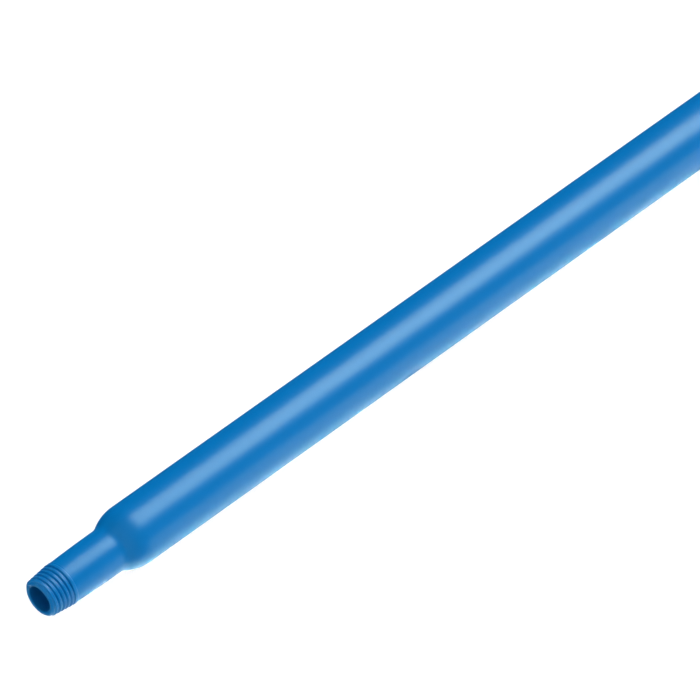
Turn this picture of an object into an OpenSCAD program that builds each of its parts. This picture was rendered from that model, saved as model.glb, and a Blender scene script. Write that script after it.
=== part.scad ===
// Boat hook: a hollow round tube whose ends are necked down on two threaded noses.
// One nose is bare and takes any screw-on deck tool; the hook head is screwed on the other.
// Frame: origin at the centre of the bare nose's end face, +X along the pole to the hook,
// +Z up, and the pole lies as it rests on a deck, with the hook's ball tip touching it.

/* [Pole] */
// Length of the pole from end face to end face
pole_len = 1300; // [900:10:2000]
// Outside diameter of the pole
tube_d = 34; // [28:0.5:42]
// Thickness of the pole's wall
tube_wall = 3; // [2.2:0.1:4]

/* [Nose] */
// Diameter of the open bore in each nose
bore_d = 15; // [12:0.1:18]
// Depth of the open bore
bore_depth = 22; // [16:1:27]
// Diameter of the seat behind it, where a stopper is pressed in
seat_d = 14.4; // [11:0.1:18]
// Diameter of the nose's spigot, which the tube is shrunk on
spigot_d = 19.6; // [18.4:0.1:20.4]
// Length of the spigot
spigot_len = 18; // [10:1:20]
// Length of each nose, from its end face to the foot of the shoulder
neck_len = 47; // [39:1:60]
// Neck diameter just behind the thread
neck_d = 23; // [21:0.1:25]
// Neck diameter at the foot of the shoulder
neck_foot_d = 25; // [23:0.1:27]
// Length of the shoulder that runs from the neck out to the pole
shoulder_len = 17; // [12:0.5:30]
// Radius of the hollow at the foot of the shoulder, along its length
shoulder_fillet_r = 9; // [4:0.5:12]
// Rounding of the bore's mouth
mouth_r = 0.8; // [0.4:0.1:1]

/* [Thread] */
// Distance from one thread crest to the next
thread_pitch = 2.5; // [2:0.1:3]
// Number of crests
thread_turns = 5; // [4:1:6]
// Diameter over the first crest
thread_d = 21.7; // [19:0.1:26]
// Growth of the diameter from the first crest to the last
thread_taper = 2.1; // [1.6:0.1:2.2]
// Depth of the thread
thread_depth = 0.9; // [0.5:0.1:1]
// Distance from the end face to the first crest
thread_lead = 1.5; // [1.2:0.1:2]

/* [Stoppers and float core] */
// Distance from the end of the open bore to a stopper's face
stopper_inset = 1; // [0.5:0.5:3]
// Length of a stopper
stopper_len = 16; // [10:1:18]
// Thickness of the sealing ring round a stopper
ring_d = 1.8; // [1.2:0.1:2.4]
// Gap between the end of the float core and the shoulder
core_end_gap = 4; // [2:1:20]

/* [Hook head] */
// Outside diameter of the head's socket
socket_d = 33; // [31:0.5:33.5]
// Distance from the socket's mouth to the foot of the shoulder
mouth_gap = 3; // [1:0.5:12]
// Play between the nose and the socket's wall, on the radius
socket_play = 0.45; // [0.3:0.05:0.6]
// Thickness of the washer that the nose tightens on
washer_t = 2; // [1:0.5:3]
// Number of finger flutes round the socket
flute_count = 12; // [6:1:16]
// Depth of a flute
flute_depth = 0.9; // [0.4:0.1:1.2]
// Diameter of the shank between the socket and the hook
shank_d = 21; // [19:0.5:24]
// Length from the nose's end face to the start of the bend
shank_len = 56; // [50:1:80]
// Diameter of the hook's arm
arm_d = 17; // [14:0.5:18]
// Radius of the bend, at the middle of the arm
bend_r = 32; // [28:1:45]
// Angle that the arm bends through
bend_angle = 165; // [150:1:175]
// Straight length of the arm after the bend
arm_len = 31; // [20:1:40]
// Diameter of the ball at the end of the arm
ball_d = 19; // [18:0.5:22]
// Length of the shank past the bend's own start, to the bumper
pike_len = 40; // [38:1:60]
// Diameter of the rubber bumper
bumper_d = 25; // [22:0.5:28]
// Length of the rubber bumper
bumper_len = 24; // [18:1:34]

/* [Hidden] */

tube_r = tube_d / 2;
bore_r = bore_d / 2;
seat_r = seat_d / 2;
spigot_r = spigot_d / 2;
tube_bore_r = tube_r - tube_wall;
arm_r = arm_d / 2;
ball_r = ball_d / 2;
shank_r = shank_d / 2;
bumper_r = bumper_d / 2;
socket_r = socket_d / 2;

// Thread: a crest and a root have the same short flat, and the rest of the pitch is flanks.
thread_flat = 0.22 * thread_pitch;
thread_len = thread_lead + thread_turns * thread_pitch - thread_pitch / 2;
taper_per_mm = thread_taper / 2 / ((thread_turns - 1) * thread_pitch);

// Wall of the nose under the thread, and the rounding of the end face that it has room for.
nose_wall = thread_d / 2 - thread_depth - bore_r;
lip_r = min(1.1, 0.45 * nose_wall);
inner_lip_r = min(mouth_r, 0.35 * nose_wall);

// Shoulder: a hollow arc and a full arc that meet at the same slope.
shoulder_rise = tube_r - neck_foot_d / 2;
shoulder_angle = 2 * atan(shoulder_rise / shoulder_len);
shoulder_round_r = shoulder_len / sin(shoulder_angle) - shoulder_fillet_r;
nose_len = neck_len + shoulder_len;
arc_steps = 14;

// Tube and nose: the tube's throat grips the spigot, then opens out to the full bore.
fit_gap = 0.05;
throat_len = 0.35 * shoulder_len;

// Stopper and its ring.
stopper_depth = bore_depth + stopper_inset;
stopper_chamfer = 0.8;
ring_r = ring_d / 2;
core_gap = 0.1;

// Head, measured along the pole from the end face of its nose.
socket_len = neck_len - mouth_gap;
washer_edge = 0.9;
socket_mouth_r = max(neck_foot_d / 2, crest_r(thread_turns - 1)) + socket_play;
socket_round_r = min(2.2, 0.62 * (socket_r - socket_mouth_r));
cone_start = washer_t + 3;
cone_len = 22;
cone_steps = 12;
flute_r = 3;
flute_end_gap = 6;
pin_d = 13;
pin_len = 13;
bumper_edge_r = 3;
arm_end_r = arm_r - 1;

// How far the ball stands out to the side, and the roll that lays it on the deck.
ball_reach = bend_r * (1 + sin(bend_angle - 90)) + arm_len * cos(bend_angle - 90);
hook_roll = asin((tube_r - ball_r) / ball_reach);

$fn = 96;

function crest_r(i) = thread_d / 2 + i * thread_pitch * taper_per_mm;

// One crest of the thread as [radius, distance from the end face].
function crest_points(i) =
    let (s = thread_lead + i * thread_pitch, r = crest_r(i))
    [
        [r - thread_depth, s - (thread_pitch - thread_flat) / 2],
        [r, s - thread_flat / 2],
        [r, s + thread_flat / 2],
        [r - thread_depth, s + (thread_pitch - thread_flat) / 2]
    ];

// Outside of a nose: its rounded end face, then the thread.
function lip_points() =
    let (edge_r = thread_d / 2 - thread_depth)
    [for (a = [0 : 15 : 75]) [edge_r - lip_r + lip_r * sin(a), lip_r / 2 * (1 - cos(a))]];
function thread_points() = [for (i = [0 : thread_turns - 1]) each crest_points(i)];

// Outside of the tube's necked end, from the foot of the shoulder to the full diameter.
function shoulder_points() = concat(
    [for (k = [0 : arc_steps])
        let (a = shoulder_angle * k / arc_steps)
        [neck_foot_d / 2 + shoulder_fillet_r * (1 - cos(a)), neck_len + shoulder_fillet_r * sin(a)]],
    [for (k = [arc_steps - 1 : -1 : 0])
        let (a = shoulder_angle * k / arc_steps)
        [tube_r - shoulder_round_r * (1 - cos(a)), nose_len - shoulder_round_r * sin(a)]]);

// Outside of a nose, from the mouth to the end of the spigot.
function nose_outside() = concat(
    lip_points(), thread_points(),
    [
        [neck_d / 2, thread_len + thread_flat], [neck_foot_d / 2, neck_len],
        [spigot_r - fit_gap, neck_len], [spigot_r - fit_gap, neck_len + spigot_len]
    ]);

// Inside of a nose, from the mouth to the end of the spigot.
function nose_inside() = concat(
    [for (a = [0 : 22.5 : 90]) [bore_r + inner_lip_r * (1 - sin(a)), inner_lip_r * (1 - cos(a))]],
    [[bore_r, bore_depth], [seat_r, bore_depth], [seat_r, neck_len + spigot_len]]);

// Inside of the tube's necked end.
function throat_points() = [
    [spigot_r, neck_len], [spigot_r, neck_len + throat_len], [tube_bore_r, nose_len]];

// The same outline counted from the other end, and an outline in the opposite order.
function far_end(points) = [for (i = [len(points) - 1 : -1 : 0]) [points[i][0], pole_len - points[i][1]]];
function backwards(points) = [for (i = [len(points) - 1 : -1 : 0]) points[i]];

// Turns an outline of [radius, distance] round the pole's axis.
module turned(outline) {
    rotate([0, 90, 0])
        rotate_extrude()
            polygon(outline);
}

// Puts a piece that is drawn from a nose's end face on the far nose, facing out.
module on_far_nose() {
    translate([pole_len, 0, 0])
        children();
}

module pole_tube() {
    color([0.10, 0.46, 0.74])
        turned(concat(
            shoulder_points(), far_end(shoulder_points()),
            backwards(concat(throat_points(), far_end(throat_points())))));
}

module nose() {
    color([0.10, 0.46, 0.74])
        turned(concat(nose_outside(), backwards(nose_inside())));
}

module butt_nose() {
    nose();
}

module head_nose() {
    on_far_nose()
        mirror([1, 0, 0])
            nose();
}

module float_core() {
    start = nose_len + core_end_gap;
    color([0.93, 0.91, 0.84])
        translate([start, 0, 0])
            rotate([0, 90, 0])
                cylinder(r = tube_bore_r - core_gap, h = pole_len - 2 * start);
}

// A stopper with the groove for its ring round the middle.
module stopper() {
    r = seat_r - fit_gap;
    color([0.16, 0.17, 0.19])
        difference() {
            turned([
                [0, 0], [r - stopper_chamfer, 0], [r, stopper_chamfer],
                [r, stopper_len - stopper_chamfer], [r - stopper_chamfer, stopper_len], [0, stopper_len]]);
            turned([
                [seat_r - ring_d, stopper_len / 2 - ring_r], [seat_r + ring_d, stopper_len / 2 - ring_r],
                [seat_r + ring_d, stopper_len / 2 + ring_r], [seat_r - ring_d, stopper_len / 2 + ring_r]]);
        }
}

module stopper_ring() {
    color([0.05, 0.05, 0.055])
        translate([stopper_len / 2, 0, 0])
            rotate([0, 90, 0])
                rotate_extrude()
                    translate([seat_r - ring_r, 0])
                        circle(r = ring_r);
}

// Places of the two stoppers along the pole.
module at_butt_stopper() {
    translate([stopper_depth, 0, 0])
        children();
}

module at_head_stopper() {
    translate([pole_len - stopper_depth - stopper_len, 0, 0])
        children();
}

module butt_stopper() {
    at_butt_stopper()
        stopper();
}

module butt_stopper_ring() {
    at_butt_stopper()
        stopper_ring();
}

module head_stopper() {
    at_head_stopper()
        stopper();
}

module head_stopper_ring() {
    at_head_stopper()
        stopper_ring();
}

module head_washer() {
    color([0.05, 0.05, 0.055])
        on_far_nose()
            turned([
                [bore_r, 0], [thread_d / 2 - washer_edge, 0],
                [thread_d / 2 - washer_edge, washer_t], [bore_r, washer_t]]);
}

// Outside of the head: socket, cone, shank and the pin that holds the bumper.
function head_outside() = concat(
    [for (a = [0 : 15 : 90])
        [socket_r - socket_round_r * (1 - sin(a)), -socket_len + socket_round_r * (1 - cos(a))]],
    [for (k = [0 : cone_steps])
        let (t = k / cone_steps)
        [shank_r + (socket_r - shank_r) * (1 + cos(180 * t)) / 2, cone_start + cone_len * t]],
    [
        [shank_r, shank_len + pike_len], [pin_d / 2, shank_len + pike_len],
        [pin_d / 2, shank_len + pike_len + pin_len], [0, shank_len + pike_len + pin_len],
        [0, washer_t]
    ]);

// Inside of the socket, from its floor out to its mouth, wide of every crest it passes.
function socket_inside() = [
    [crest_r(0) + socket_play, washer_t],
    [crest_r(0) + socket_play, -thread_lead],
    [socket_mouth_r, -thread_len],
    [socket_mouth_r, -socket_len]];

module flutes() {
    for (i = [0 : flute_count - 1])
        rotate([360 * i / flute_count, 0, 0])
            translate([-socket_len + flute_end_gap, 0, socket_r + flute_r - flute_depth])
                rotate([0, 90, 0])
                    cylinder(r = flute_r, h = socket_len - flute_end_gap);
}

// The bend leaves the shank along its middle and turns back beside it.
module arm() {
    translate([shank_len, -bend_r, 0]) {
        rotate([0, 0, 90 - bend_angle])
            rotate_extrude(angle = bend_angle)
                translate([bend_r, 0])
                    circle(r = arm_r);
        rotate([0, 0, 90 - bend_angle])
            translate([bend_r, 0, 0])
                rotate([90, 0, 0])
                    rotate_extrude()
                        polygon(concat(
                            [[0, 0], [arm_r, 0]],
                            [for (a = [asin(arm_end_r / ball_r) : 15 : 180])
                                [ball_r * sin(180 - a), arm_len + ball_r * cos(180 - a)]],
                            [[0, arm_len + ball_r]]));
    }
}

module hook_head() {
    color([0.10, 0.46, 0.74])
        on_far_nose()
            rotate([hook_roll, 0, 0])
                union() {
                    difference() {
                        turned(concat(head_outside(), socket_inside()));
                        flutes();
                    }
                    arm();
                }
}

module bumper() {
    seat = pin_d / 2 + fit_gap;
    color([0.05, 0.05, 0.055])
        on_far_nose()
            translate([shank_len + pike_len, 0, 0])
                turned(concat(
                    [[seat, 0]],
                    [for (a = [0 : 15 : 90])
                        [bumper_r - bumper_edge_r * (1 - sin(a)), bumper_edge_r * (1 - cos(a))]],
                    [for (a = [0 : 7.5 : 90])
                        [bumper_r * cos(a), bumper_len - bumper_r * (1 - sin(a))]],
                    [[0, pin_len + fit_gap], [seat, pin_len + fit_gap]]));
}

pole_tube();
butt_nose();
head_nose();
float_core();
butt_stopper();
butt_stopper_ring();
head_stopper();
head_stopper_ring();
head_washer();
hook_head();
bumper();
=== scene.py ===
# %% [markdown]
# # Boat hook
# A boat hook is a long pole that reaches a mooring line, a buoy or a ladder. This one is a hollow blue
# plastic tube. Each of its ends is shrunk down on a moulded nose with a short thread. One nose is bare,
# so that a brush or a net can be screwed on, and the other carries the hook. The sizes and the joints
# are settled in the frame. Here the pieces get the smooth skin, the real thread, the soft blends and
# the finishes that a maker would give them.

# %% Open the frame
from math import acos, atan, cos, degrees, pi, radians, sin, sqrt, tan

import bpy
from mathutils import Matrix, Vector


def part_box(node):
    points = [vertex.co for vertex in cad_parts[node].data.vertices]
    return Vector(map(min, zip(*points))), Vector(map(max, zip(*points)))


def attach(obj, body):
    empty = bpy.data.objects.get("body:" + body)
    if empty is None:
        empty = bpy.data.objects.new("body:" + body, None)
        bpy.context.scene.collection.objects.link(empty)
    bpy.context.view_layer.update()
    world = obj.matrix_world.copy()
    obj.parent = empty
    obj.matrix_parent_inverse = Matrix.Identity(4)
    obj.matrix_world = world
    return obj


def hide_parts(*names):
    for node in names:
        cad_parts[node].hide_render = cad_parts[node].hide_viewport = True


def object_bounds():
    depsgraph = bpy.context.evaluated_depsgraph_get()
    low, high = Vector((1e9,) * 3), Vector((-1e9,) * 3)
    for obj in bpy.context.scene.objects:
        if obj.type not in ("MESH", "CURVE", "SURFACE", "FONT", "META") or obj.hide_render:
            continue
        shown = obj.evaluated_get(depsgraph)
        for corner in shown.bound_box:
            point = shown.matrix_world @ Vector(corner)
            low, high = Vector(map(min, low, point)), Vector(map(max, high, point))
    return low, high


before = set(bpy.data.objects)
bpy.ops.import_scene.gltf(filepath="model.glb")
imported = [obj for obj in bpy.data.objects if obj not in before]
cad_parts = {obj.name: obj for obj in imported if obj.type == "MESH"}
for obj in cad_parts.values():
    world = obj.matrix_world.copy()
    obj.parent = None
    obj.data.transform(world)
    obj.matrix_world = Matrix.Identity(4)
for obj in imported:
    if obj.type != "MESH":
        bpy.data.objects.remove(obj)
cad_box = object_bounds()
print("pieces in the frame:", sorted(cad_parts))

# %% [markdown]
# ## Sizes
# What the frame can tell is read from it, so that the new pieces always fit the pole that was packed.
# Fine details that no box shows, such as the depth of a thread, are named here, in metres. Distances
# along the pole start at the end face of a nose and run into the pole.

# %% Read and name the sizes
MM = 0.001


def half_height(node):
    """Half of a CAD node's size across the pole: the radius of a round piece."""
    low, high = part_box(node)
    return (high.z - low.z) / 2


POLE_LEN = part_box("head_nose")[1].x
TUBE_R = half_height("pole_tube")
NECK_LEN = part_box("pole_tube")[0].x
NECK_FOOT_R = half_height("butt_nose")
NOSE_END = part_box("butt_nose")[1].x
CORE_R = half_height("float_core")
STOPPER_R = half_height("butt_stopper")
STOPPER_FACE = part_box("butt_stopper")[0].x
STOPPER_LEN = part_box("butt_stopper")[1].x - STOPPER_FACE
RING_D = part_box("butt_stopper_ring")[1].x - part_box("butt_stopper_ring")[0].x
WASHER_R = half_height("head_washer")
WASHER_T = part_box("head_washer")[1].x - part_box("head_washer")[0].x
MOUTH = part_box("hook_head")[0].x
BUMPER_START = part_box("bumper")[0].x
BUMPER_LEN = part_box("bumper")[1].x - BUMPER_START
BUMPER_R = half_height("bumper")

FIT_GAP = 0.05 * MM
BORE_R = 7.5 * MM
BORE_DEPTH = 22 * MM
SEAT_R = STOPPER_R + FIT_GAP
SPIGOT_R = 9.8 * MM
TUBE_BORE_R = CORE_R + 0.1 * MM
SHOULDER_LEN = 17 * MM
HOLLOW_R = 9 * MM
print(f"pole {POLE_LEN:.3f} m long, {2 * TUBE_R / MM:.0f} mm thick, neck {NECK_LEN / MM:.0f} mm")

# %% [markdown]
# ## A lathe made of two operators
# Nearly every piece of a boat hook is round, so one helper does for Blender what a lathe does in the
# workshop. It draws half of the outline by extruding a single vertex from point to point, and then it
# spins that line once round the pole's axis. A cylinder primitive could be extruded and scaled ring by
# ring instead, but an outline is easier to read, and its points can follow true arcs.

# %% Helpers for round pieces
def deselect():
    bpy.ops.object.select_all(action="DESELECT")


def pick(piece):
    """Makes this the one selected and active piece."""
    deselect()
    piece.select_set(True)
    bpy.context.view_layer.objects.active = piece


def finish_surface(piece, sharp=radians(35)):
    """Welds the mesh, turns its faces outwards and smooths it, but for edges sharper than that."""
    pick(piece)
    bpy.ops.object.mode_set(mode="EDIT")
    bpy.ops.mesh.select_all(action="SELECT")
    bpy.ops.mesh.remove_doubles(threshold=0.004 * MM)
    bpy.ops.mesh.normals_make_consistent(inside=False)
    bpy.ops.object.mode_set(mode="OBJECT")
    bpy.ops.object.shade_smooth_by_angle(angle=sharp)


def lathe(name, outline, steps=160):
    """A round piece from its outline, a list of (distance along the pole, radius)."""
    deselect()
    bpy.ops.mesh.primitive_plane_add(size=MM, location=(0, 0, 0))
    piece = bpy.context.active_object
    piece.name = piece.data.name = name
    bpy.ops.object.mode_set(mode="EDIT")
    bpy.ops.mesh.select_all(action="SELECT")
    bpy.ops.mesh.merge(type="CENTER")
    bpy.ops.transform.translate(value=(outline[0][0], 0, outline[0][1]))
    for here, there in zip(outline, outline[1:]):
        step = (there[0] - here[0], 0, there[1] - here[1])
        bpy.ops.mesh.extrude_region_move(TRANSFORM_OT_translate={"value": step})
    bpy.ops.mesh.select_all(action="SELECT")
    bpy.ops.mesh.spin(steps=steps, angle=2 * pi, center=(0, 0, 0), axis=(1, 0, 0))
    bpy.ops.object.mode_set(mode="OBJECT")
    finish_surface(piece)
    print(name, "has", len(piece.data.polygons), "faces")
    return piece


def arc(centre, radius, start, stop, points):
    """Points on an arc in the outline, its angles in degrees from straight along the pole."""
    turn = (stop - start) / (points - 1)
    angles = [radians(start + turn * i) for i in range(points)]
    return [(centre[0] + radius * cos(a), centre[1] + radius * sin(a)) for a in angles]


def straight(start, stop, points):
    """Evenly spaced points from one point of the outline to another."""
    share = [i / (points - 1) for i in range(points)]
    return [tuple(a + (b - a) * t for a, b in zip(start, stop)) for t in share]


def smooth_step(value):
    """0 below 0, 1 above 1, and a soft rise between."""
    t = min(max(value, 0), 1)
    return t * t * (3 - 2 * t)

# %% [markdown]
# ## The tube
# The tube is extruded plastic pipe. Its end is warmed and pressed in a die until it grips the nose, and
# that leaves a shoulder: a tight hollow at the neck that rolls over into a wide round. Two arcs that
# meet at the same slope give just that line, so the light runs over the shoulder without a break. The
# far end is the same outline counted from the other end of the pole.

# %% Turn the tube
SHOULDER_RISE = TUBE_R - NECK_FOOT_R
SHOULDER_TILT = degrees(2 * atan(SHOULDER_RISE / SHOULDER_LEN))
ROUND_R = SHOULDER_LEN / sin(radians(SHOULDER_TILT)) - HOLLOW_R
SHOULDER_END = NECK_LEN + SHOULDER_LEN
THROAT_END = NECK_LEN + 0.35 * SHOULDER_LEN

hollow = arc((NECK_LEN, NECK_FOOT_R + HOLLOW_R), HOLLOW_R, -90, -90 + SHOULDER_TILT, 14)
rounded = arc((SHOULDER_END, TUBE_R - ROUND_R), ROUND_R, 90 + SHOULDER_TILT, 90, 26)
necked_end = [(NECK_LEN, SPIGOT_R)] + hollow + rounded[1:]
throat = [(SHOULDER_END, TUBE_BORE_R), (THROAT_END, SPIGOT_R), (NECK_LEN, SPIGOT_R)]
far_end = [(POLE_LEN - s, r) for s, r in reversed(necked_end)]
far_throat = [(POLE_LEN - s, r) for s, r in reversed(throat)]

tube = lathe("tube", necked_end + far_end + far_throat[1:] + throat, steps=192)

# %% [markdown]
# ## The two noses
# A nose is moulded in one shot: a bore, a slightly tapered neck, and a coarse, rounded, right-hand
# thread. A thread is a ridge that climbs one pitch for each turn. It could be a profile swept with the
# Screw modifier and joined with a Boolean, but that leaves a thin seam where the ridge fades out. It is
# cleaner to press it out of the skin. Every vertex gets a weight from 0 in the groove to 1 on the
# crest, and a Displace modifier lifts the skin by that weight. The crests lean a little, so that their
# tops are level although the thread tapers, and the last crest fades out on the neck.

# %% Turn a nose and press its thread
PITCH = 2.5 * MM
THREAD_DEPTH = 0.9 * MM
FIRST_CREST = 1.5 * MM
FIRST_CREST_R = 10.85 * MM
TAPER = 0.105
THREAD_END = 14.6 * MM
RIDGE_END = 16.8 * MM
RIDGE_SHARE = 0.4
NECK_START = 15.0 * MM
NECK_R = 11.85 * MM
LIP_R = 1.1 * MM
CREST_WIDTH = 0.9 * MM
CREST_LEAN = 0.15
GROOVE_WIDTH = 0.3 * MM
NOSE_STEPS = 192
MOUTH_EDGE = 0.8 * MM
ROOT_START = 0.9 * MM
FADE_IN_START = 0.6 * MM
FADE = 1.0 * MM


def crest_radius(along):
    return FIRST_CREST_R + TAPER * (along - FIRST_CREST)


def press(piece, weight_at, height):
    """Lifts each vertex along its normal by height times the weight that weight_at gives its place."""
    group = piece.vertex_groups.new(name="press")
    for vertex in piece.data.vertices:
        weight = weight_at(vertex.co)
        if weight > 0:
            group.add([vertex.index], weight, "REPLACE")
    pick(piece)
    bpy.ops.object.modifier_add(type="DISPLACE")
    displace = piece.modifiers[-1]
    displace.vertex_group = group.name
    displace.mid_level = 0
    displace.strength = height
    bpy.ops.object.modifier_apply(modifier=displace.name)
    piece.vertex_groups.clear()


def neck_point(share):
    """A point on the neck, which swells from the thread and runs level into the shoulder."""
    along = NECK_START + (NECK_LEN - NECK_START) * share
    return (along, NECK_FOOT_R - (NECK_FOOT_R - NECK_R) * (1 - share) ** 2)


def thread_weight(place):
    """Height of the thread at a place on the nose: a crest that climbs a pitch for each turn."""
    around = sqrt(place.y**2 + place.z**2)
    if around < crest_radius(0) - 1.5 * THREAD_DEPTH or place.x > RIDGE_END:
        return 0
    angle = acos(max(-1, min(1, place.y / around)))
    turn = (angle if place.z >= 0 else 2 * pi - angle) / (2 * pi)
    offset = ((place.x - FIRST_CREST) / PITCH - turn + 0.5) % 1 - 0.5
    flank = (PITCH - CREST_WIDTH - GROOVE_WIDTH) / 2
    height = 1 - smooth_step((abs(offset) * PITCH - CREST_WIDTH / 2) / flank)
    lean = 1 - CREST_LEAN * min(max(0.5 + offset * PITCH / CREST_WIDTH, 0), 1)
    fade_in = smooth_step((place.x - FADE_IN_START) / FADE)
    past_thread = smooth_step((place.x - THREAD_END) / (NECK_START - THREAD_END))
    into_neck = 1 - (1 - RIDGE_SHARE) * past_thread
    fade_out = smooth_step((RIDGE_END - place.x) / FADE)
    return height * lean * fade_in * into_neck * fade_out


root_start = (ROOT_START, crest_radius(ROOT_START) - THREAD_DEPTH)
root_end = (THREAD_END, crest_radius(THREAD_END) - THREAD_DEPTH)
mouth_edge = arc((MOUTH_EDGE, BORE_R + MOUTH_EDGE), MOUTH_EDGE, 270, 180, 8)
lip = arc((LIP_R, root_start[1] - LIP_R - 0.02 * MM), LIP_R, 180, 100, 10)
NOSE_OUTLINE = (
    [(NOSE_END, SEAT_R), (BORE_DEPTH, SEAT_R), (BORE_DEPTH, BORE_R)]
    + mouth_edge
    + lip
    + straight(root_start, root_end, 136)
    + straight((NECK_START - 0.2 * MM, NECK_R - 0.12 * MM), (NECK_START, NECK_R), 3)
    + [neck_point(i / 320) for i in range(1, 20)]
    + [neck_point(i / 32) for i in range(2, 33)]
    + [(NECK_LEN, SPIGOT_R - FIT_GAP), (NOSE_END, SPIGOT_R - FIT_GAP), (NOSE_END, SEAT_R)]
)

butt_nose = lathe("bare_nose", NOSE_OUTLINE, steps=NOSE_STEPS)
press(butt_nose, thread_weight, THREAD_DEPTH)
finish_surface(butt_nose, sharp=radians(50))

# %% [markdown]
# The nose under the hook is the same moulding turned end for end. It is turned and not mirrored, because
# a mirrored thread would be left-handed and no hook would screw on it.

# %% Copy the nose to the far end
def turned_round(piece, name):
    """A copy with its own mesh, turned half round about the upright through the pole's middle."""
    pick(piece)
    bpy.ops.object.duplicate()
    copy = bpy.context.active_object
    copy.name = copy.data.name = name
    copy.rotation_euler.z = pi
    copy.location.x = POLE_LEN
    bpy.ops.object.transform_apply(location=True, rotation=True, scale=True)
    return copy


head_nose = turned_round(butt_nose, "hook_nose")
print("far nose from", round(min(v.co.x for v in head_nose.data.vertices), 4))

# %% [markdown]
# ## What sits inside the noses
# Each nose is closed by a stopper, pressed in behind the bore and sealed by a rubber ring, so the pole
# floats. A moulded stopper has soft edges, a groove for its ring and a small dimple where the plastic
# entered the mould. The ring is a torus, for which Blender has a primitive.

# %% Make the stoppers and their rings
def round_corner(centre, radius, start, points=5):
    """A quarter of a circle in the outline, turning clockwise from the start angle."""
    return arc(centre, radius, start, start - 90, points)


EDGE = 0.8 * MM
GROOVE_R = SEAT_R - RING_D
DIMPLE_R = 2.2 * MM
DIMPLE = 0.7 * MM
face_in, face_out = STOPPER_FACE, STOPPER_FACE + STOPPER_LEN
ring_middle = STOPPER_FACE + STOPPER_LEN / 2
stopper_outline = (
    [(face_in + DIMPLE, 0), (face_in + DIMPLE, DIMPLE_R / 2), (face_in, DIMPLE_R)]
    + round_corner((face_in + EDGE, STOPPER_R - EDGE), EDGE, 180)
    + [(ring_middle - RING_D / 2, STOPPER_R), (ring_middle - RING_D / 2, GROOVE_R)]
    + [(ring_middle + RING_D / 2, GROOVE_R), (ring_middle + RING_D / 2, STOPPER_R)]
    + round_corner((face_out - EDGE, STOPPER_R - EDGE), EDGE, 90)
    + [(face_out, 0)]
)
butt_stopper = lathe("bare_nose_stopper", stopper_outline, steps=96)
head_stopper = turned_round(butt_stopper, "hook_nose_stopper")


def seal_ring(name, along):
    """A rubber ring seated in the groove of a stopper."""
    deselect()
    bpy.ops.mesh.primitive_torus_add(
        location=(along, 0, 0),
        rotation=(0, pi / 2, 0),
        major_segments=96,
        minor_segments=20,
        major_radius=SEAT_R - RING_D / 2,
        minor_radius=RING_D / 2,
    )
    ring = bpy.context.active_object
    ring.name = ring.data.name = name
    bpy.ops.object.transform_apply(location=True, rotation=True, scale=True)
    finish_surface(ring)
    return ring


butt_ring = seal_ring("bare_nose_ring", ring_middle)
head_ring = seal_ring("hook_nose_ring", POLE_LEN - ring_middle)

# %% [markdown]
# The washer is punched from rubber sheet, so its edges are nearly sharp. The foam core is poured into
# the tube and cut flat at its ends.

# %% Make the washer and the core
WASHER_EDGE = 0.25 * MM
washer_end = POLE_LEN + WASHER_T
washer_outline = (
    [(POLE_LEN, BORE_R + WASHER_EDGE), (POLE_LEN, WASHER_R - WASHER_EDGE)]
    + [(POLE_LEN + WASHER_EDGE, WASHER_R), (washer_end - WASHER_EDGE, WASHER_R)]
    + [(washer_end, WASHER_R - WASHER_EDGE), (washer_end, BORE_R + WASHER_EDGE)]
    + [(washer_end - WASHER_EDGE, BORE_R), (POLE_LEN + WASHER_EDGE, BORE_R)]
    + [(POLE_LEN, BORE_R + WASHER_EDGE)]
)
washer = lathe("washer", washer_outline, steps=96)
core_start, core_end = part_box("float_core")[0].x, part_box("float_core")[1].x
core_outline = [(core_start, 0), (core_start, CORE_R), (core_end, CORE_R), (core_end, 0)]
core = lathe("float_core_foam", core_outline, steps=96)

# %% [markdown]
# ## The socket of the hook head
# The head is one moulding. Its socket is a plain turned shape with twelve finger flutes, so it comes off
# the lathe and the flutes are pressed in with the same weights as the thread. Their ends run out
# softly, like the mark of a ball-nosed cutter. A small bead closes the cone where the shank begins.

# %% Turn the socket and press its flutes
SOCKET_R = 16.5 * MM
MOUTH_BORE_R = 12.95 * MM
FLOOR_BORE_R = 11.3 * MM
MOUTH_ROUND = 2.2 * MM
SHANK_R = 10.5 * MM
BEAD_R = 0.8 * MM
CONE_START = 5 * MM
CONE_LEN = 22 * MM
FLOOR_DEPTH = 1.5 * MM
TAPER_DEPTH = 12.75 * MM
BEAD_GAP = 2.5 * MM
BEAD_FOOT = 1.6 * MM
STUB_R = SHANK_R - 0.9 * MM
STUB_LEN = 4 * MM
FLUTES = 12
FLUTE_R = 3 * MM
FLUTE_DEPTH = 0.9 * MM
FLUTE_END = 6 * MM


def on_head(points):
    """Outline points counted from the end face of the far nose."""
    return [(POLE_LEN + s, r) for s, r in points]


def cone_point(share):
    """A point of the cone, which leaves the socket and meets the shank without an edge."""
    above_shank = (SOCKET_R - SHANK_R) * (1 + cos(pi * share)) / 2
    return (CONE_START + CONE_LEN * share, SHANK_R + above_shank)


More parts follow.
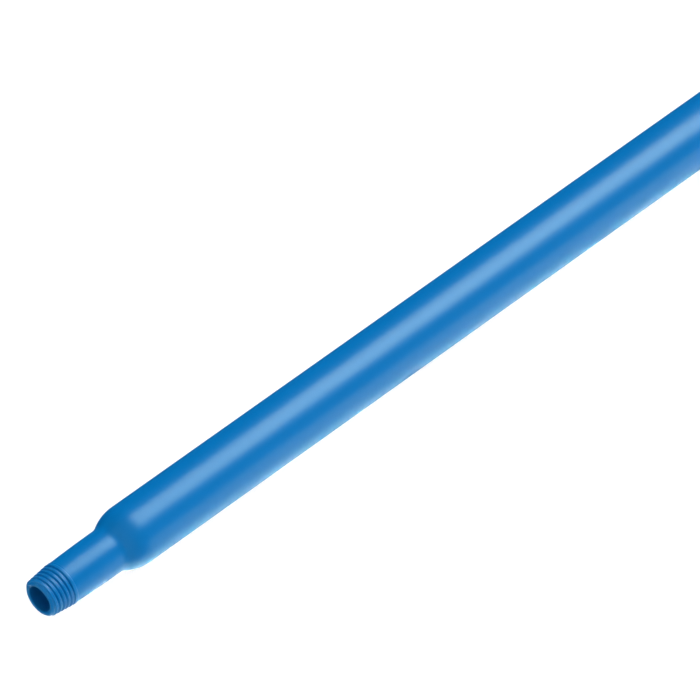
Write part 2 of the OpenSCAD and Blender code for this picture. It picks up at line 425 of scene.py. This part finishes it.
mouth = MOUTH - POLE_LEN
bead = (CONE_START + CONE_LEN + BEAD_GAP, SHANK_R)
stub_end = bead[0] + STUB_LEN
socket_outline = (
    [(WASHER_T, 0), (WASHER_T, FLOOR_BORE_R), (-FLOOR_DEPTH, FLOOR_BORE_R)]
    + [(-TAPER_DEPTH, MOUTH_BORE_R), (mouth, MOUTH_BORE_R)]
    + arc((mouth + MOUTH_ROUND, SOCKET_R - MOUTH_ROUND), MOUTH_ROUND, 180, 90, 8)
    + straight((mouth + 2.5 * MM, SOCKET_R), (CONE_START - 0.5 * MM, SOCKET_R), 90)
    + [cone_point(i / 24) for i in range(25)]
    + [(bead[0] - BEAD_FOOT, SHANK_R)]
    + arc(bead, BEAD_R, 160, 20, 8)
    + [(bead[0] + BEAD_FOOT, STUB_R), (stub_end, STUB_R), (stub_end, 0)]
)
hook = lathe("hook_head_moulding", on_head(socket_outline), steps=288)


def flute_weight(place):
    """Depth of a flute at a place on the socket, as a share of its full depth."""
    around = sqrt(place.y**2 + place.z**2)
    if around < SOCKET_R - 0.01 * MM:
        return 0
    angle = acos(max(-1, min(1, place.z / around)))
    apart = 2 * pi / FLUTES
    off_line = ((angle / apart + 0.5) % 1 - 0.5) * apart * SOCKET_R
    past_start = max(0, MOUTH + FLUTE_END + FLUTE_R - place.x)
    past_end = max(0, place.x - (POLE_LEN + CONE_START - FLUTE_R - 1 * MM))
    away = off_line**2 + past_start**2 + past_end**2
    return max(0, sqrt(max(0, FLUTE_R**2 - away)) - (FLUTE_R - FLUTE_DEPTH)) / FLUTE_DEPTH


press(hook, flute_weight, -FLUTE_DEPTH)

# %% [markdown]
# ## The hook itself
# The shank and the bend meet like a branch and a stem, and a moulding has a soft fillet there. The stem,
# the bend and the ball start as plain solids: two cylinders, a disc spun through the bend and extruded
# straight, and a sphere. A voxel Remesh then grows one skin over all of them, and a Smooth modifier melts
# the corner between them into a fillet. The plain solids are a little thicker than the finished hook,
# because smoothing takes that much off again.

# %% Spin the bend and melt it into the shank
SHRINK = 0.28 * MM
BALL_SHRINK = 0.17 * MM
SHANK_LEN = 56 * MM
BEND_R = 32 * MM
BEND_ANGLE = radians(165)
ARM_R = 8.5 * MM
ARM_END_R = 7.5 * MM
ARM_LEN = 31 * MM
BALL_R = 9.5 * MM
PIN_R = 6.2 * MM
PIN_LEN = 12.8 * MM
PIN_OVERLAP = 5 * MM
BALL_REACH = 70.5 * MM
VOXEL = 0.7 * MM
SMOOTHINGS = 32
HOOK_ROLL = atan((TUBE_R - BALL_R) / BALL_REACH)


def rod(name, start, stop, radius):
    """A plain round rod along the pole's axis, counted from the end face of the far nose."""
    middle = (POLE_LEN + (start + stop) / 2, 0, 0)
    bpy.ops.mesh.primitive_cylinder_add(
        vertices=96, radius=radius, depth=stop - start, location=middle, rotation=(0, pi / 2, 0)
    )
    piece = bpy.context.active_object
    piece.name = name
    return piece


deselect()
shank_end = BUMPER_START - POLE_LEN
shank = rod("shank", bead[0], shank_end, SHANK_R + SHRINK)
pin = rod("pin", shank_end - PIN_OVERLAP, shank_end + PIN_LEN, PIN_R + SHRINK)

bend_start = Vector((POLE_LEN + SHANK_LEN, 0, 0))
bend_centre = bend_start - Vector((0, BEND_R, 0))
bpy.ops.mesh.primitive_circle_add(
    vertices=72,
    radius=ARM_R + SHRINK,
    fill_type="NGON",
    location=bend_start,
    rotation=(0, pi / 2, 0),
)
arm = bpy.context.active_object
arm.name = "arm"
bpy.ops.object.mode_set(mode="EDIT")
bpy.ops.mesh.select_all(action="SELECT")
bpy.ops.mesh.spin(steps=72, angle=BEND_ANGLE, center=bend_centre, axis=(0, 0, 1))
heading = Vector((cos(BEND_ANGLE), -sin(BEND_ANGLE), 0))
arm_start = bend_centre + BEND_R * Vector((sin(BEND_ANGLE), cos(BEND_ANGLE), 0))
arm_end = arm_start + ARM_LEN * heading
bpy.ops.mesh.extrude_region_move(TRANSFORM_OT_translate={"value": ARM_LEN * heading})
bpy.ops.transform.resize(value=(ARM_END_R / ARM_R,) * 3, center_override=arm_end)
bpy.ops.object.mode_set(mode="OBJECT")

bpy.ops.mesh.primitive_uv_sphere_add(
    segments=64, ring_count=32, radius=BALL_R + BALL_SHRINK, location=arm_end
)
ball = bpy.context.active_object

deselect()
for solid in (shank, pin, arm, ball):
    solid.select_set(True)
bpy.context.view_layer.objects.active = shank
bpy.ops.object.join()
bpy.ops.object.transform_apply(location=True, rotation=True, scale=True)
bpy.ops.object.modifier_add(type="REMESH")
shank.modifiers[-1].mode = "VOXEL"
shank.modifiers[-1].voxel_size = VOXEL
bpy.ops.object.modifier_apply(modifier=shank.modifiers[-1].name)
bpy.ops.object.modifier_add(type="SMOOTH")
shank.modifiers[-1].factor = 0.5
shank.modifiers[-1].iterations = SMOOTHINGS
bpy.ops.object.modifier_apply(modifier=shank.modifiers[-1].name)
finish_surface(shank)
print("shank and hook have", len(shank.data.polygons), "faces")

# %% [markdown]
# The socket and the hook become one moulding with a Boolean union under the bead, where the moulding has
# an edge anyway. The whole head is rolled a few degrees on the pole, so that its ball rests on the ground
# as the pole does.

# %% Join the socket and the hook
pick(hook)
bpy.ops.object.modifier_add(type="BOOLEAN")
hook.modifiers[-1].operation = "UNION"
hook.modifiers[-1].solver = "EXACT"
hook.modifiers[-1].object = shank
bpy.ops.object.modifier_apply(modifier=hook.modifiers[-1].name)
bpy.data.objects.remove(shank)
hook.rotation_euler.x = HOOK_ROLL
bpy.ops.object.transform_apply(location=True, rotation=True, scale=True)
finish_surface(hook, sharp=radians(40))
print("hook head has", len(hook.data.polygons), "faces")

# %% [markdown]
# ## The bumper
# A rubber cap is pushed on the pin at the very end, to fend off a hull without marking it. It is turned
# with a domed face and two shallow grip rings.

# %% Turn the bumper
BUMPER_EDGE = 3 * MM
PIN_SEAT_R = 6.55 * MM
SEAT_DEPTH = 13.05 * MM
SEAT_EDGE = 0.4 * MM
GRIP_R = 1.0 * MM
GRIP_LIFT = 0.6 * MM
GRIP_PLACES = (5.5 * MM, 9 * MM)


def grip_ring(along):
    """A shallow round groove cut into the side of the bumper."""
    return arc((along, BUMPER_R + GRIP_LIFT), GRIP_R, 217, 323, 9)


bumper_outline = (
    [(SEAT_DEPTH, 0), (SEAT_DEPTH, PIN_SEAT_R)]
    + [(SEAT_EDGE, PIN_SEAT_R), (0, PIN_SEAT_R + SEAT_EDGE)]
    + arc((BUMPER_EDGE, BUMPER_R - BUMPER_EDGE), BUMPER_EDGE, 180, 90, 9)
    + grip_ring(GRIP_PLACES[0])
    + grip_ring(GRIP_PLACES[1])
    + arc((BUMPER_LEN - BUMPER_R, 0), BUMPER_R, 90, 0, 24)
)
bumper = lathe("rubber_bumper", [(BUMPER_START + s, r) for s, r in bumper_outline], steps=144)

# %% [markdown]
# ## Finishes
# A finish is easier to read as a sum than as a web of nodes. The small class below wraps a shader
# socket, so that plus and times build the maths nodes. One more method adds any other node.

# %% A socket that can be added and multiplied
class Sock:
    """An output of a material's node tree that can stand in a formula."""

    def __init__(self, tree, output=None):
        self.tree = tree
        self.output = output

    def node(self, kind, output, settings=None, **inputs):
        """Adds a node, sets or links its inputs by name, and gives the output asked for."""
        made = self.tree.nodes.new(kind)
        for name, value in (settings or {}).items():
            setattr(made, name, value)
        for name, value in inputs.items():
            self.plug(value, made.inputs[name.replace("_", " ")])
        return Sock(self.tree, made.outputs[output])

    def plug(self, value, target):
        if isinstance(value, Sock):
            self.tree.links.new(value.output, target)
        else:
            target.default_value = value

    def maths(self, operation, first, second):
        made = self.tree.nodes.new("ShaderNodeMath")
        made.operation = operation
        self.plug(first, made.inputs[0])
        self.plug(second, made.inputs[1])
        return Sock(self.tree, made.outputs["Value"])

    def __add__(self, other):
        return self.maths("ADD", self, other)

    def __radd__(self, other):
        return self.maths("ADD", other, self)

    def __sub__(self, other):
        return self.maths("SUBTRACT", self, other)

    def __rsub__(self, other):
        return self.maths("SUBTRACT", other, self)

    def __mul__(self, other):
        return self.maths("MULTIPLY", self, other)

    def __rmul__(self, other):
        return self.maths("MULTIPLY", other, self)


def start_material(name):
    """A fresh material: its socket helper, its shader, and the place on the object."""
    material = bpy.data.materials.new(name)
    material.use_nodes = True
    tree = material.node_tree
    place = Sock(tree).node("ShaderNodeTexCoord", "Object")
    return material, place, tree.nodes["Principled BSDF"]


def noise(place, scale, detail=2):
    """Noise in the object's own space; scale counts the blobs along each axis in a metre."""
    stretched = place.node("ShaderNodeMapping", "Vector", Vector=place, Scale=scale)
    return place.node("ShaderNodeTexNoise", "Fac", Vector=stretched, Scale=1, Detail=detail)


def shade(place, dark, light, share):
    """A colour between two colours, by a share from 0 to 1."""
    mix = place.tree.nodes.new("ShaderNodeMix")
    mix.data_type = "RGBA"
    place.plug(share, mix.inputs["Factor"])
    mix.inputs[6].default_value = dark
    mix.inputs[7].default_value = light
    return Sock(place.tree, mix.outputs[2])


def relief(place, shader, height, depth, strength):
    """Feeds a height, in units of depth, to the shader as a bump."""
    bump = place.node("ShaderNodeBump", "Normal", Height=height, Distance=depth, Strength=strength)
    place.plug(bump, shader.inputs["Normal"])

# %% [markdown]
# ### Blue plastic
# The pole is coloured right through and comes smooth from the die. Up close it isn't a mirror: it has a
# satin gloss with very faint lines drawn along it and a slight orange peel. Its colour hardly
# changes, so the tone moves by only a few hundredths. A real plastic mirrors white light as white. Here
# the mirrored light is tinted a little towards cyan, a choice of look and not of physics.

# %% Make the blue plastic
HIGHLIGHT_TINT = (0.66, 1, 1, 1)


def blue_plastic(name, line_height):
    """Satin blue plastic; line_height says how much the drawn lines show."""
    material, place, shader = start_material(name)
    tone = noise(place, (9, 30, 30), 3)
    lines = noise(place, (5, 650, 650), 3)
    peel = noise(place, (700, 700, 700), 2)
    colour = shade(place, (0.001, 0.164, 0.473, 1), (0.002, 0.172, 0.493, 1), tone)
    place.plug(colour, shader.inputs["Base Color"])
    place.plug(0.31 + 0.06 * noise(place, (25, 90, 90), 4), shader.inputs["Roughness"])
    shader.inputs["Specular Tint"].default_value = HIGHLIGHT_TINT
    relief(place, shader, lines * line_height + peel * 0.5, 0.02 * MM, 0.25)
    return material


drawn_blue = blue_plastic("drawn_blue_plastic", 1.0)
moulded_blue = blue_plastic("moulded_blue_plastic", 0.0)

# %% [markdown]
# ### Dark plastic, rubber and foam
# The stoppers are black plastic with a fine spark-eroded grain. Rubber is duller and a little dusty. The
# foam is cut through its cells, so a Voronoi pattern gives it open pores, and the pores are painted
# darker as painted shade in their hollows.

# %% Make the other materials
stopper_black, place, shader = start_material("stopper_plastic")
speck = noise(place, (2500, 2500, 2500), 2)
cloud = noise(place, (300, 300, 300), 3)
black_tone = shade(place, (0.012, 0.012, 0.013, 1), (0.024, 0.024, 0.026, 1), cloud)
place.plug(black_tone, shader.inputs["Base Color"])
place.plug(0.42 + 0.1 * speck, shader.inputs["Roughness"])
relief(place, shader, speck, 0.03 * MM, 0.5)

rubber_black, place, shader = start_material("black_rubber")
grain = noise(place, (1600, 1600, 1600), 3)
dust = noise(place, (120, 120, 120), 5)
rubber_tone = shade(place, (0.010, 0.010, 0.011, 1), (0.034, 0.034, 0.035, 1), dust)
place.plug(rubber_tone, shader.inputs["Base Color"])
place.plug(0.62 + 0.16 * dust, shader.inputs["Roughness"])
relief(place, shader, grain, 0.08 * MM, 0.6)

foam_white, place, shader = start_material("float_foam")
pore_relief_and_shade = place.node("ShaderNodeTexVoronoi", "Distance", Vector=place, Scale=700)
# The pores are painted darker, as painted shade in their hollows; the same pattern also gives the pore
# relief and roughness.
place.plug(shade(place, (0.42, 0.38, 0.28, 1), (0.82, 0.79, 0.70, 1), pore_relief_and_shade), shader.inputs["Base Color"])
place.plug(0.85 + 0.1 * pore_relief_and_shade, shader.inputs["Roughness"])
relief(place, shader, pore_relief_and_shade, 0.5 * MM, 0.8)

# %% [markdown]
# ## Dress the pieces
# Every piece now gets its material, rides on the body that moves it, and stands for its CAD node. One
# table says all of that, so nothing can be forgotten.

# %% A table of each piece's material, body, node and slot; each piece takes its material and body, and its CAD node is hidden
PIECES = (
    (tube, drawn_blue, "pole", "pole_tube", "blue_plastic"),
    (butt_nose, moulded_blue, "pole", "butt_nose", "blue_plastic"),
    (head_nose, moulded_blue, "pole", "head_nose", "blue_plastic"),
    (core, foam_white, "pole", "float_core", "foam"),
    (butt_stopper, stopper_black, "pole", "butt_stopper", "dark_plastic"),
    (head_stopper, stopper_black, "pole", "head_stopper", "dark_plastic"),
    (butt_ring, rubber_black, "pole", "butt_stopper_ring", "rubber"),
    (head_ring, rubber_black, "pole", "head_stopper_ring", "rubber"),
    (washer, rubber_black, "washer", "head_washer", "rubber"),
    (hook, moulded_blue, "head", "hook_head", "blue_plastic"),
    (bumper, rubber_black, "head", "bumper", "rubber"),
)
for piece, material, body, node, slot in PIECES:
    piece.data.materials.clear()
    piece.data.materials.append(material)
    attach(piece, body)
    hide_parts(node)
print(len(PIECES), "pieces dressed")

# %% [markdown]
# ## The studio
# A product picture of a plain blue pole lives by its reflections: one long soft highlight on top and a
# second one low on the near side, both ending at the shoulder. So the lights are split. Far, soft
# fills colour the plastic evenly and leave no reflection. Long panels do the opposite: they are
# only seen mirrored in the skin. The floor glows, so that it stays plain white and takes no shadow. No
# real lamp can be split like this, so it is a picture's light and not a room's.

# %% Lay the floor and set the sky
FLOOR_Z = cad_box[0][2]
FLOOR_GREY = (0.15, 0.15, 0.15, 1)
deselect()
bpy.ops.mesh.primitive_plane_add(size=60, location=(POLE_LEN / 2, 0, FLOOR_Z))
floor = bpy.context.active_object
floor.name = "floor"
paper_white = bpy.data.materials.new("paper_white")
paper_white.use_nodes = True
paper = paper_white.node_tree.nodes["Principled BSDF"]
paper.inputs["Base Color"].default_value = FLOOR_GREY
paper.inputs["Roughness"].default_value = 0.9
paper.inputs["Specular IOR Level"].default_value = 0
paper.inputs["Emission Color"].default_value = (1, 1, 1, 1)
paper.inputs["Emission Strength"].default_value = 0.95
floor.data.materials.append(paper_white)
floor.visible_glossy = False
floor.visible_diffuse = False
floor.visible_shadow = False

studio = bpy.data.worlds.new("studio")
bpy.context.scene.world = studio
studio.use_nodes = True
studio.node_tree.nodes["Background"].inputs["Color"].default_value = (1, 1, 1, 1)
studio.cycles_visibility.diffuse = False
studio.cycles_visibility.glossy = False
studio.cycles.sampling_method = "NONE"

# %% Hang the lights
def hang(name, kind, energy):
    """A light that no camera sees, with its data."""
    data = bpy.data.lights.new(name, kind)
    data.energy = energy
    data.cycles.use_multiple_importance_sampling = False
    lamp = bpy.data.objects.new(name, data)
    bpy.context.scene.collection.objects.link(lamp)
    lamp.visible_camera = False
    return lamp, data


def fill(name, source, strength):
    """Even light from far away that leaves no reflection."""
    lamp, data = hang(name, "SUN", strength)
    data.angle = radians(90)
    lamp.rotation_euler = Vector(source).to_track_quat("Z", "Y").to_euler()
    lamp.visible_glossy = False


def panel(name, centre, facing, size, radiance, tint=(1, 1, 1)):
    """A long softbox that is seen only as a reflection."""
    lamp, data = hang(name, "AREA", radiance * pi * size[0] * size[1])
    data.color = tint
    data.shape = "RECTANGLE"
    data.size, data.size_y = size
    lamp.location = centre
    lamp.rotation_euler = Vector(facing).to_track_quat("-Z", "Y").to_euler()
    lamp.visible_diffuse = False


LEAN = tan(radians(25))
ROUND_FILL = 2.25
BUTT_FILL = 1.8
FAR_FILL = 1.5
COOL = (0.85, 1, 1)
COLD = (0.25, 1, 1)
for name, side in (("above", (0, 1)), ("below", (0, -1)), ("front", (-1, 0)), ("back", (1, 0))):
    fill("fill_" + name, (LEAN, *side), ROUND_FILL)
fill("fill_butt", (-1, 0, 0), BUTT_FILL)
fill("fill_far", (1, 0, 0), FAR_FILL)
panel("panel_top", (1.78, -0.087, 0.80), (0, 0, -1), (2.90, 0.754), 6.0)
panel("panel_front", (1.46, -0.50, -0.23), (0, 1, 0), (2.40, 0.54), 1.45)
panel("panel_under", (1.30, -0.12, -0.50), (0, 0, 1), (2.80, 0.66), 1.4, COOL)
panel("panel_rim", (1.30, 0.075, -0.45), (0, 0, 1), (2.80, 0.65), 1.0, COLD)
panel("panel_butt", (-0.15, -0.50, 0), (1, 0, 0), (1.60, 1.60), 0.5)

# %% [markdown]
# ## The camera
# It stands far off with a long lens, so that the tube hardly narrows along its length, and looks down
# on the bare nose from the near left.

# %% Place the camera
LONG_VIEW = radians(5)
DISTANCE = 4.15
AIM = Vector((0.2312, 0.0098, 0.0073))
AROUND, ABOVE = radians(-45), radians(45)
back = Vector((sin(AROUND) * cos(ABOVE), -cos(AROUND) * cos(ABOVE), sin(ABOVE)))
camera = bpy.data.cameras.new("camera")
camera.lens = camera.sensor_width / 2 / tan(LONG_VIEW / 2)
camera.clip_end = 100
stand = bpy.data.objects.new("camera", camera)
bpy.context.scene.collection.objects.link(stand)
stand.location = AIM + back * DISTANCE
stand.rotation_euler = (-back).to_track_quat("-Z", "Y").to_euler()
bpy.context.scene.camera = stand
bpy.context.scene.view_settings.view_transform = "Standard"
